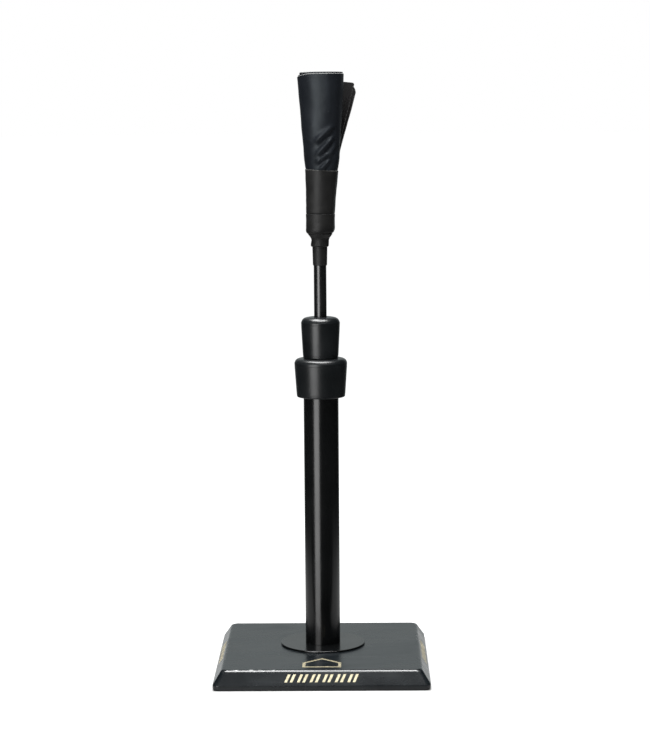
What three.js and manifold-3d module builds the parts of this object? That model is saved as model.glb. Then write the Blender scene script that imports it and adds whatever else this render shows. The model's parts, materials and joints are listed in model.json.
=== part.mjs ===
// Batting tee: a weighted square base, an outer tube, two telescoping inner stages held by
// friction collars, and a hand-rolled rubber ball rest on a flexible neck.
//
// Millimetres, +Z up. The origin is the centre of the base's footprint, on the floor. The batter
// faces the tee along +Y, so the base's front edge is at -Y. The tubes share one vertical axis,
// which stands STEM_Y behind the centre of the base.
//
// From the floor up:
//   base      feet, bottom cover, ballast plate, base shell, flange, outer tube, lower collar
//   stage 1   middle tube on its sliding guide, upper collar
//   stage 2   rod on its sliding guide, neck sleeve, flexible neck
//   rest      core, rolled rubber sheet, lower and upper wrap

import * as THREE from "three";
import { mergeVertices } from "three/addons/utils/BufferGeometryUtils.js";
import Module from "manifold-3d";

const wasm = await Module();
wasm.setup();

// ---------------------------------------------------------------- driving dimensions

const STEM_Y = 12; // the tubes' axis, behind the centre of the base

const FINE = 40; // sides of a large round piece
const ROUND = 32; // sides of a middle-sized one
const SMALL = 24; // sides of a small one

const BASE = {
  bottomHalf: 134, // half the width of the footprint
  topHalf: 122, // half the width of the flat top
  corner: 8, // radius of the upright corners
  bottom: 1, // underside, held off the floor by the feet
  band: 6.5, // top of the short upright band below the bevel
  top: 23.5,
  edge: 1.6, // how far the rounding of the top edge reaches
  skin: 4, // wall of the shell
};
const COVER = { half: 129.2, bottom: 1.25, top: 4, clearance: 0.4 };
const BALLAST = { half: 115, cut: 24, bottom: 7, top: 19.25, recess: 15, recessTop: 15.5 };
const BOSS = { at: 110, r: 5.5, hole: 1.9 };
const SCREW = { head: 3.4, shank: 1.6, bottom: 1.5, seat: 3, top: 14 };
const FOOT = { at: 94, r: 12, top: 2.75, pocketTop: 3 };
const BOLT = { r: 5, head: 9.4, headBottom: 4.9, headTop: 11.2, top: 44, hole: 5.6 };
const FLANGE = { r: 54, bottom: 23.6, top: 25.8 };

const OUTER_TUBE = { r: 22.225, wall: 1.65, bottom: 25.9, top: 380 }; // 1 3/4 in tube
const MIDDLE_TUBE = { r: 15.875, wall: 1.5, bottom: 100, top: 433 }; // 1 1/4 in tube
const ROD = { r: 7.94, wall: 1.5, bottom: 200, top: 536 }; // 5/8 in tube

const SLIDE_GAP = 0.275; // between a sliding or turning piece and its bore
const FIT_GAP = 0.2; // between pieces that are fixed to each other

const LOWER_COLLAR = { bottom: 344, top: 393, foot: 30.1, shoulder: 33.2 };
const UPPER_COLLAR = { bottom: 393.3, top: 445.3, foot: 22.2, shoulder: 24.5 };
const LOWER_BUSHING = { bottom: 352, lip: 383 };
const UPPER_BUSHING = { bottom: 408.8, lip: 435.6 };
const MIDDLE_GUIDE = { bottom: 104, top: 129.2, clip: 2 };
const ROD_GUIDE = { bottom: 204, top: 226, clip: 2 };

const SLEEVE = { bottomR: 8.6, r: 9.4, bottom: 510.7, top: 537 };
const NECK = { r: 11.35, bottom: 534.3, flare: 545, top: 550.4, topR: 12.6, bore: 4.5 };
const REST_BOTTOM = 551;
const CORE = { r: 6.3, bore: 3.5, top: 612 };
const WRAP = { skin: 1, gap: 0.3, split: 575.5, top: 630.3 };

// The rolled sheet: its outer radius and the sideways lean of its centre at a few heights.
const ROLL = {
  thick: 2.5,
  turns: 2,
  endAngle: THREE.MathUtils.degToRad(25), // where the outer end stops, from +X towards +Y
  bottom: 555,
  top: 752,
  pitchBottom: 2.8, // spacing of the layers low down and at the mouth
  pitchTop: 3.2,
  heights: [555, 575, 600, 631, 635, 645, 672, 700, 752],
  outer: [
    [555, 16.3],
    [575, 16.4],
    [600, 17.3],
    [631, 19.3],
    [635, 22.8],
    [645, 24.1],
    [700, 28.2],
    [752, 31.6],
  ],
  lean: [
    [555, 0.6],
    [575, 0.8],
    [600, 1.7],
    [631, 2.95],
    [635, 3.6],
    [645, 4],
    [700, 3.8],
    [752, 3.1],
  ],
  straight: 645, // below this the rows of the sheet are level
  drop: 12.5, // how far the top edge falls along the last part of the sheet
  dropTurns: 0.7,
  flapTurns: 0.28, // the outer end that springs away from the roll
  flapBottom: 656,
  flapPerMm: 0.27, // how fast the flap opens with height
  cornerTurns: 0.035,
  cornerDrop: 9,
};

// ---------------------------------------------------------------- geometry helpers

/** A profile of [radius, z] points turned round the Z axis into one closed geometry. */
function turned(profile, sides = ROUND) {
  const points = profile.map(([r, z]) => new THREE.Vector2(r, z));
  const onAxis = profile[0][0] === 0 && profile.at(-1)[0] === 0;
  if (!onAxis) points.push(points[0].clone());
  if (THREE.ShapeUtils.area(points) > 0) points.reverse();
  points.reverse();
  return new THREE.LatheGeometry(points, sides).rotateX(Math.PI / 2);
}

/** A plain ring or tube between two radii and two heights. */
function ringBetween(inner, outer, bottom, top, sides = ROUND) {
  return turned(
    [
      [inner, bottom],
      [outer, bottom],
      [outer, top],
      [inner, top],
    ],
    sides,
  );
}

/** A solid cylinder standing between two heights. */
function post(r, bottom, top, sides = SMALL) {
  return turned(
    [
      [0, bottom],
      [r, bottom],
      [r, top],
      [0, top],
    ],
    sides,
  );
}

/** A square outline with round corners, as points at height z. */
function roundedSquare(half, corner, z, steps = 4) {
  const points = [];
  for (let quarter = 0; quarter < 4; quarter++) {
    const start = (quarter * Math.PI) / 2;
    const cx = (half - corner) * Math.SQRT2 * Math.cos(start + Math.PI / 4);
    const cy = (half - corner) * Math.SQRT2 * Math.sin(start + Math.PI / 4);
    for (let i = 0; i <= steps; i++) {
      const a = start + ((Math.PI / 2) * i) / steps;
      points.push([cx + corner * Math.cos(a), cy + corner * Math.sin(a), z]);
    }
  }
  return points;
}

/** A circle of points at height z, with its centre at [cx, 0]. */
function circle(r, z, cx, sides = ROUND) {
  return Array.from({ length: sides }, (_, i) => {
    const a = (2 * Math.PI * i) / sides;
    return [cx + r * Math.cos(a), r * Math.sin(a), z];
  });
}

/** A geometry from a list of [x, y, z] points and a list of triangles. */
function fromTriangles(points, triangles) {
  return new THREE.BufferGeometry()
    .setAttribute("position", new THREE.Float32BufferAttribute(points.flat(), 3))
    .setIndex(triangles.flat());
}

/** A skin over outlines of equally many points, from the bottom up, with flat ends. */
function lofted(outlines) {
  const n = outlines[0].length;
  const points = outlines.flat();
  const triangles = [];
  for (let k = 0; k + 1 < outlines.length; k++) {
    for (let i = 0; i < n; i++) {
      const a = k * n + i;
      const b = k * n + ((i + 1) % n);
      triangles.push([a, b, b + n], [a, b + n, a + n]);
    }
  }
  const last = (outlines.length - 1) * n;
  for (let i = 1; i + 1 < n; i++) {
    triangles.push([0, i + 1, i], [last, last + i, last + i + 1]);
  }
  return fromTriangles(points, triangles);
}

/** A manifold-3d solid from a closed geometry. */
function solid(geometry) {
  const bare = geometry.clone();
  bare.deleteAttribute("normal");
  bare.deleteAttribute("uv");
  const merged = mergeVertices(bare, 1e-4);
  const triangles = [];
  const index = merged.index.array;
  for (let i = 0; i < index.length; i += 3) {
    const [a, b, c] = index.slice(i, i + 3);
    if (a !== b && b !== c && c !== a) triangles.push(a, b, c);
  }
  return new wasm.Manifold(
    new wasm.Mesh({
      numProp: 3,
      vertProperties: merged.attributes.position.array,
      triVerts: new Uint32Array(triangles),
    }),
  );
}

/** Back from a manifold-3d solid to a geometry. */
function geometryOf(made) {
  const mesh = made.getMesh();
  return new THREE.BufferGeometry()
    .setAttribute("position", new THREE.BufferAttribute(mesh.vertProperties, 3))
    .setIndex(new THREE.BufferAttribute(mesh.triVerts, 1));
}

/** A straight line through a table of [z, value] pairs. */
function along(table, z) {
  const last = table.length - 1;
  if (z <= table[0][0]) return table[0][1];
  for (let i = 1; i <= last; i++) {
    const [z1, v1] = table[i];
    const [z0, v0] = table[i - 1];
    if (z <= z1) return v0 + ((v1 - v0) * (z - z0)) / (z1 - z0);
  }
  return table[last][1];
}

/** The four corners at +-distance, as [name, x, y]. */
function corners(distance) {
  return [
    ["front_left", -distance, -distance],
    ["front_right", distance, -distance],
    ["back_left", -distance, distance],
    ["back_right", distance, distance],
  ];
}

// ---------------------------------------------------------------- materials

function finish(color, roughness, metalness = 0) {
  return new THREE.MeshStandardMaterial({ color, roughness, metalness });
}

const material = {
  glossShell: finish(0x17181a, 0.25),
  plainPlastic: finish(0x202122, 0.6),
  ballastSteel: finish(0x4a4744, 0.7, 0.6),
  paintedSteel: finish(0x0e0f10, 0.3, 0.2),
  zincSteel: finish(0xb4b6b8, 0.35, 0.9),
  collarRubber: finish(0x16171a, 0.35),
  gripRubber: finish(0x1c1c1c, 0.8),
  nylon: finish(0xd8d6cc, 0.5),
  sheetRubber: finish(0x1d1f23, 0.5),
  wrapRubber: finish(0x2a2a2a, 0.8),
  footRubber: finish(0x151515, 0.9),
};

const tee = new THREE.Group();
const stem = new THREE.Group(); // everything on the tubes' axis
stem.position.set(0, STEM_Y, 0);
tee.add(stem);

function add(parent, name, geometry, look) {
  const mesh = new THREE.Mesh(geometry, look);
  mesh.name = name;
  parent.add(mesh);
  return mesh;
}

// ---------------------------------------------------------------- base

/** The moulded shell: bevelled square outside, a tray inside, four screw bosses. */
function baseShell() {
  const { bottomHalf, topHalf, corner, bottom, band, top, edge, skin } = BASE;
  const outside = lofted([
    roundedSquare(bottomHalf - 1.5, corner - 1.5, bottom),
    roundedSquare(bottomHalf, corner, bottom + 1.5),
    roundedSquare(bottomHalf, corner, band),
    roundedSquare(topHalf + edge * 0.6, corner - 0.4, top - edge),
    roundedSquare(topHalf - edge * 0.4, corner - 1.5, top),
  ]);
  const rebate = lofted([
    roundedSquare(COVER.half + COVER.clearance, 5, bottom - 1),
    roundedSquare(COVER.half + COVER.clearance, 5, COVER.top + 0.1),
  ]);
  const cavity = lofted([
    roundedSquare(bottomHalf - skin - 2.5, 4, bottom),
    roundedSquare(bottomHalf - skin - 2.5, 4, band),
    roundedSquare(topHalf - skin, 4, top - skin),
  ]);
  let made = solid(outside).subtract(solid(rebate)).subtract(solid(cavity));
  for (const [, x, y] of corners(BOSS.at)) {
    const boss = post(BOSS.r, COVER.top + 0.3, top - skin + 0.5, 16);
    made = made.add(solid(boss.translate(x, y, 0)));
    const hole = post(BOSS.hole, COVER.top, top - skin - 2, 12);
    made = made.subtract(solid(hole.translate(x, y, 0)));
  }
  const boltHole = post(BOLT.hole, bottom, top + 1);
  return geometryOf(made.subtract(solid(boltHole.translate(0, STEM_Y, 0))));
}

/** The steel plate that gives the base its weight, clamped up under the shell's top. */
function ballastPlate() {
  const { half, cut, bottom, top, recess, recessTop } = BALLAST;
  const outline = (z) => [
    [half, half - cut, z],
    [half - cut, half, z],
    [cut - half, half, z],
    [-half, half - cut, z],
    [-half, cut - half, z],
    [cut - half, -half, z],
    [half - cut, -half, z],
    [half, cut - half, z],
  ];
  const plate = solid(lofted([outline(bottom), outline(top)]));
  const headRecess = post(recess, bottom - 1, recessTop).translate(0, STEM_Y, 0);
  const boltHole = post(BOLT.hole, bottom, top + 1).translate(0, STEM_Y, 0);
  return geometryOf(plate.subtract(solid(headRecess)).subtract(solid(boltHole)));
}

/** The plate that closes the underside, with a pocket for each foot and four screw holes. */
function bottomCover() {
  const { half, bottom, top } = COVER;
  let made = solid(lofted([roundedSquare(half, 5, bottom), roundedSquare(half, 5, top)]));
  for (const [, x, y] of corners(FOOT.at)) {
    const pocket = post(FOOT.r + 0.3, 0, FOOT.pocketTop).translate(x, y, 0);
    made = made.subtract(solid(pocket));
  }
  for (const [, x, y] of corners(BOSS.at)) {
    made = made.subtract(solid(screwSeat().translate(x, y, 0)));
  }
  return geometryOf(made);
}

function screwSeat() {
  return turned(
    [
      [0, 0],
      [SCREW.head + 0.4, 0],
      [SCREW.head + 0.4, SCREW.bottom + 0.2],
      [SCREW.shank + 0.3, SCREW.seat + 0.3],
      [SCREW.shank + 0.3, COVER.top + 1],
      [0, COVER.top + 1],
    ],
    16,
  );
}

/** A countersunk cover screw. */
function coverScrew() {
  return turned(
    [
      [0, SCREW.bottom],
      [SCREW.head, SCREW.bottom],
      [SCREW.shank, SCREW.seat + 0.2],
      [SCREW.shank, SCREW.top - 2],
      [0, SCREW.top],
    ],
    12,
  );
}

function foot() {
  return turned(
    [
      [0, 0],
      [FOOT.r - 1, 0],
      [FOOT.r, 1],
      [FOOT.r, FOOT.top],
      [0, FOOT.top],
    ],
    SMALL,
  );
}

/** Hex bolt that clamps ballast, shell, flange and tube together, head down. */
function stemBolt() {
  const head = new THREE.CylinderGeometry(BOLT.head, BOLT.head, BOLT.headTop - BOLT.headBottom, 6)
    .rotateX(Math.PI / 2)
    .translate(0, 0, (BOLT.headTop + BOLT.headBottom) / 2);
  const shank = post(BOLT.r, BOLT.headTop - 1, BOLT.top, 16);
  return geometryOf(solid(head).add(solid(shank)));
}

add(tee, "base_shell", baseShell(), material.glossShell);
add(tee, "ballast_plate", ballastPlate(), material.ballastSteel);
add(tee, "bottom_cover", bottomCover(), material.plainPlastic);
for (const [where, x, y] of corners(FOOT.at)) {
  add(tee, `foot_${where}`, foot(), material.footRubber).position.set(x, y, 0);
}
for (const [where, x, y] of corners(BOSS.at)) {
  add(tee, `cover_screw_${where}`, coverScrew(), material.zincSteel).position.set(x, y, 0);
}

add(stem, "stem_bolt", stemBolt(), material.zincSteel);
add(stem, "lock_washer", ringBetween(5.4, 9, 11.3, 13.3, 16), material.zincSteel);
add(stem, "flat_washer", ringBetween(5.4, 12, 13.4, 15.4, SMALL), material.zincSteel);

// ---------------------------------------------------------------- outer tube and lower collar

/** The thin disc that the tube is welded to. */
const flangeProfile = [
  [BOLT.hole, FLANGE.bottom],
  [FLANGE.r, FLANGE.bottom],
  [FLANGE.r, FLANGE.top - 0.6],
  [FLANGE.r - 0.6, FLANGE.top],
  [BOLT.hole, FLANGE.top],
];

/** The threaded plug in the foot of the outer tube, which takes the stem bolt. */
const footPlug = ringBetween(
  BOLT.r + 0.3,
  OUTER_TUBE.r - OUTER_TUBE.wall - FIT_GAP,
  OUTER_TUBE.bottom,
  OUTER_TUBE.bottom + 20,
);

/** A moulded collar: tapered outside with a round shoulder, stepped bore inside. */
function collarProfile(collar, crown, skirtBore, skirtTop, ring, topBore) {
  const { bottom, top, foot: footR, shoulder } = collar;
  return [
    [skirtBore, bottom],
    [footR - 2, bottom],
    [footR, bottom + 2.2],
    [shoulder, top - crown.height - 1.2],
    [shoulder - 0.1 * crown.width, top - 0.62 * crown.height],
    [shoulder - 0.38 * crown.width, top - 0.22 * crown.height],
    [shoulder - crown.width, top],
    [topBore, top],
    [topBore, ring.top + 0.2],
    [ring.r + 0.3, ring.top + 0.2],
    [ring.r + 0.3, skirtTop],
    [skirtBore, skirtTop],
  ];
}

/** A flanged guide bushing: a skirt inside a tube's mouth and a lip that rests on its end. */
function bushingProfile(tube, bushing, bore) {
  const skirt = tube.r - tube.wall - FIT_GAP;
  return [
    [bore, bushing.bottom],
    [skirt, bushing.bottom],
    [skirt, tube.top + 0.1],
    [tube.r - 0.1, tube.top + 0.1],
    [tube.r - 0.1, bushing.lip],
    [bore, bushing.lip],
  ];
}

const LOWER_GRIP = { r: 20.7, bottom: 383.7, top: 389.3 };
const UPPER_GRIP = { r: 12.7, bottom: 436.2, top: 441.2 };
const middleBore = MIDDLE_TUBE.r + SLIDE_GAP;
const rodBore = ROD.r + SLIDE_GAP;

function tubeOf(tube, sides) {
  return ringBetween(tube.r - tube.wall, tube.r, tube.bottom, tube.top, sides);
}

add(stem, "flange_disc", turned(flangeProfile, FINE), material.paintedSteel);
add(stem, "tube_foot_plug", footPlug, material.zincSteel);
add(stem, "outer_tube", tubeOf(OUTER_TUBE, FINE), material.paintedSteel);
add(
  stem,
  "lower_bushing",
  turned(bushingProfile(OUTER_TUBE, LOWER_BUSHING, middleBore)),
  material.nylon,
);
add(
  stem,
  "lower_grip_ring",
  ringBetween(middleBore - 0.05, LOWER_GRIP.r, LOWER_GRIP.bottom, LOWER_GRIP.top),
  material.gripRubber,
);
add(
  stem,
  "lower_collar",
  turned(
    collarProfile(
      LOWER_COLLAR,
      { width: 7, height: 6.5 },
      OUTER_TUBE.r + FIT_GAP,
      LOWER_GRIP.bottom - 0.3,
      LOWER_GRIP,
      middleBore + 0.2,
    ),
    FINE,
  ),
  material.collarRubber,
);

// ---------------------------------------------------------------- stage 1: middle tube

/** Two snap rings hold a guide along its tube and leave it free to turn. */
function addGuide(name, guide, tube, bore, outer, clipOuter, sides) {
  const gap = 0.3;
  const clipBore = tube.r + 0.15;
  const low = guide.bottom - gap;
  const high = guide.top + gap;
  add(
    stem,
    `${name}_clip_lower`,
    ringBetween(clipBore, clipOuter, low - guide.clip, low, sides),
    material.zincSteel,
  );
  add(stem, `${name}_guide`, ringBetween(bore, outer, guide.bottom, guide.top, sides), material.nylon);
  add(
    stem,
    `${name}_clip_upper`,
    ringBetween(clipBore, clipOuter, high, high + guide.clip, sides),
    material.zincSteel,
  );
}

add(stem, "middle_tube", tubeOf(MIDDLE_TUBE, ROUND), material.paintedSteel);
addGuide(
  "middle_tube",
  MIDDLE_GUIDE,
  MIDDLE_TUBE,
  middleBore,
  OUTER_TUBE.r - OUTER_TUBE.wall - SLIDE_GAP,
  18.6,
  ROUND,
);
add(
  stem,
  "upper_bushing",
  turned(bushingProfile(MIDDLE_TUBE, UPPER_BUSHING, rodBore), SMALL),
  material.nylon,
);
add(
  stem,
  "upper_grip_ring",
  ringBetween(rodBore - 0.05, UPPER_GRIP.r, UPPER_GRIP.bottom, UPPER_GRIP.top, SMALL),
  material.gripRubber,
);
add(
  stem,
  "upper_collar",
  turned(
    collarProfile(
      UPPER_COLLAR,
      { width: 9, height: 7.5 },
      MIDDLE_TUBE.r + FIT_GAP,
      UPPER_GRIP.bottom - 0.3,
      UPPER_GRIP,
      rodBore + 0.2,
    ),
    FINE,
  ),
  material.collarRubber,
);

// ---------------------------------------------------------------- stage 2: rod and neck

/** A push-in plug with a head that caps one end of the rod. */
function rodPlug(end, direction) {
  const inner = ROD.r - ROD.wall - FIT_GAP;
  return turned(
    [
      [0, end + direction * 2.5],
      [ROD.r - 0.8, end + direction * 2.5],
      [ROD.r - 0.1, end + direction * 1.8],
      [ROD.r - 0.1, end + direction * 0.1],
      [inner, end + direction * 0.1],
      [inner, end - direction * 14],
      [0, end - direction * 14],
    ],
    SMALL,
  );
}

/** The flexible rubber coupling between the top of the rod and the ball rest. */
const neckProfile = [
  [SLEEVE.r + FIT_GAP, NECK.bottom],
  [NECK.r - 0.7, NECK.bottom],
  [NECK.r, NECK.bottom + 1],
  [NECK.r, NECK.flare],
  [NECK.topR, NECK.top],
  [NECK.bore, NECK.top],
  [NECK.bore, ROD.top + 3],
  [SLEEVE.r + FIT_GAP, ROD.top + 3],
];

add(stem, "rod", tubeOf(ROD, SMALL), material.paintedSteel);
addGuide(
  "rod",
  ROD_GUIDE,
  ROD,
  rodBore,
  MIDDLE_TUBE.r - MIDDLE_TUBE.wall - SLIDE_GAP,
  11,
  SMALL,
);
add(stem, "rod_bottom_plug", rodPlug(ROD.bottom, -1), material.plainPlastic);
add(stem, "rod_top_plug", rodPlug(ROD.top, 1), material.plainPlastic);
add(
  stem,
  "neck_sleeve",
  turned(
    [
      [ROD.r + FIT_GAP, SLEEVE.bottom],
      [SLEEVE.bottomR, SLEEVE.bottom],
      [SLEEVE.r, NECK.bottom - 4],
      [SLEEVE.r, SLEEVE.top],
      [ROD.r + FIT_GAP, SLEEVE.top],
    ],
    SMALL,
  ),
  material.wrapRubber,
);
add(stem, "flexible_neck", turned(neckProfile, SMALL), material.wrapRubber);

// ---------------------------------------------------------------- ball rest

const rollOuter = (z) => along(ROLL.outer, z);
const rollLean = (z) => along(ROLL.lean, z);

/** Height of the sheet's top edge, a number of turns before its outer end. */
function sheetTop(turnsLeft) {
  const fall = Math.max(0, 1 - turnsLeft / ROLL.dropTurns);
  const corner = Math.max(0, 1 - turnsLeft / ROLL.cornerTurns);
  return ROLL.top - ROLL.drop * fall - ROLL.cornerDrop * corner ** 2;
}

/** Radius of the sheet's middle surface: a spiral that widens upwards, with its end sprung out. */
function sheetRadius(turnsLeft, z) {
  const share = (z - ROLL.bottom) / (ROLL.top - ROLL.bottom);
  const pitch = THREE.MathUtils.lerp(ROLL.pitchBottom, ROLL.pitchTop, share);
  const open = Math.max(0, z - ROLL.flapBottom) * ROLL.flapPerMm;
  const free = Math.max(0, 1 - turnsLeft / ROLL.flapTurns) ** 1.6;
  return rollOuter(z) - ROLL.thick / 2 - pitch * turnsLeft + open * free;
}

/** The hand-rolled rubber sheet: one spiral strip with thickness, closed on all four edges. */
function rolledSheet(steps = 56) {
  const rows = ROLL.heights.length;
  const points = [];
  for (const side of [-0.5, 0.5]) {
    for (let i = 0; i <= steps; i++) {
      const turnsLeft = ROLL.turns * (1 - i / steps) ** 1.15;
      const angle = ROLL.endAngle + 2 * Math.PI * turnsLeft;
      const top = sheetTop(turnsLeft);
      for (const height of ROLL.heights) {
        const share = (height - ROLL.straight) / (ROLL.top - ROLL.straight);
        const z = share > 0 ? THREE.MathUtils.lerp(ROLL.straight, top, share) : height;
        const r = sheetRadius(turnsLeft, z) + side * ROLL.thick;
        points.push([rollLean(z) + r * Math.cos(angle), r * Math.sin(angle), z]);
      }
    }
  }
  const at = (side, i, j) => (side * (steps + 1) + i) * rows + j;
  const triangles = [];
  const quad = (a, b, c, d) => triangles.push([a, b, c], [a, c, d]);
  for (let i = 0; i < steps; i++) {
    for (let j = 0; j + 1 < rows; j++) {
      quad(at(0, i, j), at(0, i + 1, j), at(0, i + 1, j + 1), at(0, i, j + 1));
      quad(at(1, i, j), at(1, i, j + 1), at(1, i + 1, j + 1), at(1, i + 1, j));
    }
    quad(at(0, i, 0), at(1, i, 0), at(1, i + 1, 0), at(0, i + 1, 0));
    quad(at(0, i, rows - 1), at(0, i + 1, rows - 1), at(1, i + 1, rows - 1), at(1, i, rows - 1));
  }
  for (let j = 0; j + 1 < rows; j++) {
    quad(at(0, 0, j), at(0, 0, j + 1), at(1, 0, j + 1), at(1, 0, j));
    quad(at(0, steps, j), at(1, steps, j), at(1, steps, j + 1), at(0, steps, j + 1));
  }
  return fromTriangles(points, triangles);
}

/** A wrap of elastic tape round the roll between two heights, following its lean. */
function wrapBand(bottom, top) {
  const outer = [];
  const inner = [];
  const between = ROLL.heights.filter((z) => z > bottom && z < top);
  for (const z of [bottom, ...between, top]) {
    outer.push(circle(rollOuter(z) + WRAP.gap + WRAP.skin, z, rollLean(z)));
    inner.push(circle(rollOuter(z) + WRAP.gap, z, rollLean(z)));
  }
  inner.unshift(inner[0].map(([x, y, z]) => [x, y, z - 1]));
  inner.push(inner.at(-1).map(([x, y, z]) => [x, y, z + 1]));
  return solid(lofted(outer)).subtract(solid(lofted(inner)));
}

/** The lower wrap also closes in round the bottom of the roll. */
function lowerWrap() {
  const seat = ROLL.bottom - 0.3;
  const band = wrapBand(seat, WRAP.split);
  const r = rollOuter(seat) + WRAP.gap + WRAP.skin;
  const hole = CORE.r + FIT_GAP + rollLean(seat);
  const cup = turned([
    [hole, REST_BOTTOM],
    [r - 3, REST_BOTTOM],
    [r - 0.9, REST_BOTTOM + 1.6],
    [r, seat],
    [hole, seat],
  ]);
  cup.translate(rollLean(seat), 0, 0);
  return geometryOf(band.add(solid(cup)));
}

add(
  stem,
  "rest_core",
  ringBetween(CORE.bore, CORE.r, REST_BOTTOM, CORE.top, SMALL),
  material.wrapRubber,
);
add(stem, "rolled_sheet", rolledSheet(), material.sheetRubber);
add(stem, "lower_wrap", lowerWrap(), material.wrapRubber);
add(
  stem,
  "upper_wrap",
  geometryOf(wrapBand(WRAP.split + 0.3, WRAP.top)),
  material.wrapRubber,
);

export default tee;
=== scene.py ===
"""Batting tee: the looks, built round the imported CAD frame. Blender 4.5.

Shapes are in millimetres and degrees, and MM turns them into metres. The studio and the materials
are in metres. A turned piece takes its ends from its CAD node's box, and the tubes, the flange and
the feet take their radius from it too. Pieces on the stem share the outer tube's axis.
"""

import json
import math

import bmesh
import bpy
import numpy as np
from mathutils import Matrix, Vector, noise


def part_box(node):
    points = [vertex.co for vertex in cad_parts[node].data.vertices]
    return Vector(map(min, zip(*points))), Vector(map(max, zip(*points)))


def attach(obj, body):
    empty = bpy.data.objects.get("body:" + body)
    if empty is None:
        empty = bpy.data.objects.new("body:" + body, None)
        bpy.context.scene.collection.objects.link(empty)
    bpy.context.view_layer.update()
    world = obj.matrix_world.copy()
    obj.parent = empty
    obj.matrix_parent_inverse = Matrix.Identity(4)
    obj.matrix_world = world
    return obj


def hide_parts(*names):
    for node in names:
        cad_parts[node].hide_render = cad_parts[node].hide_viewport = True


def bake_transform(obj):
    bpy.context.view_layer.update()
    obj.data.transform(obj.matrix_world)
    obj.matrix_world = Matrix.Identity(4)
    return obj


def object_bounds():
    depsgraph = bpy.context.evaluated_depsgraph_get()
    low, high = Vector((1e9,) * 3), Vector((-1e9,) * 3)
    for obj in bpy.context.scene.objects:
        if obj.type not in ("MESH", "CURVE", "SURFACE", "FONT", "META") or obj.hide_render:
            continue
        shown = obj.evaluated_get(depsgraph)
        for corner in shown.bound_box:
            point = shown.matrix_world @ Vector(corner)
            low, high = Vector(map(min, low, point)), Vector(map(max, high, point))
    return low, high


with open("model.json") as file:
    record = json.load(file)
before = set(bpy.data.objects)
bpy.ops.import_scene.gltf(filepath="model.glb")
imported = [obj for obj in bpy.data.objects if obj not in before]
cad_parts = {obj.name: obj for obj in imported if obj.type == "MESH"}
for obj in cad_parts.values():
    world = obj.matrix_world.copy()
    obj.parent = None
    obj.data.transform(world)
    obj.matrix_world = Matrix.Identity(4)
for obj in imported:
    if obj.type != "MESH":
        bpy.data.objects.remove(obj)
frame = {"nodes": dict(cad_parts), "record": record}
cad_low, cad_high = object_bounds()

MM = 0.001
scene = bpy.context.scene

# ---------------------------------------------------------------- material tools


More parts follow.
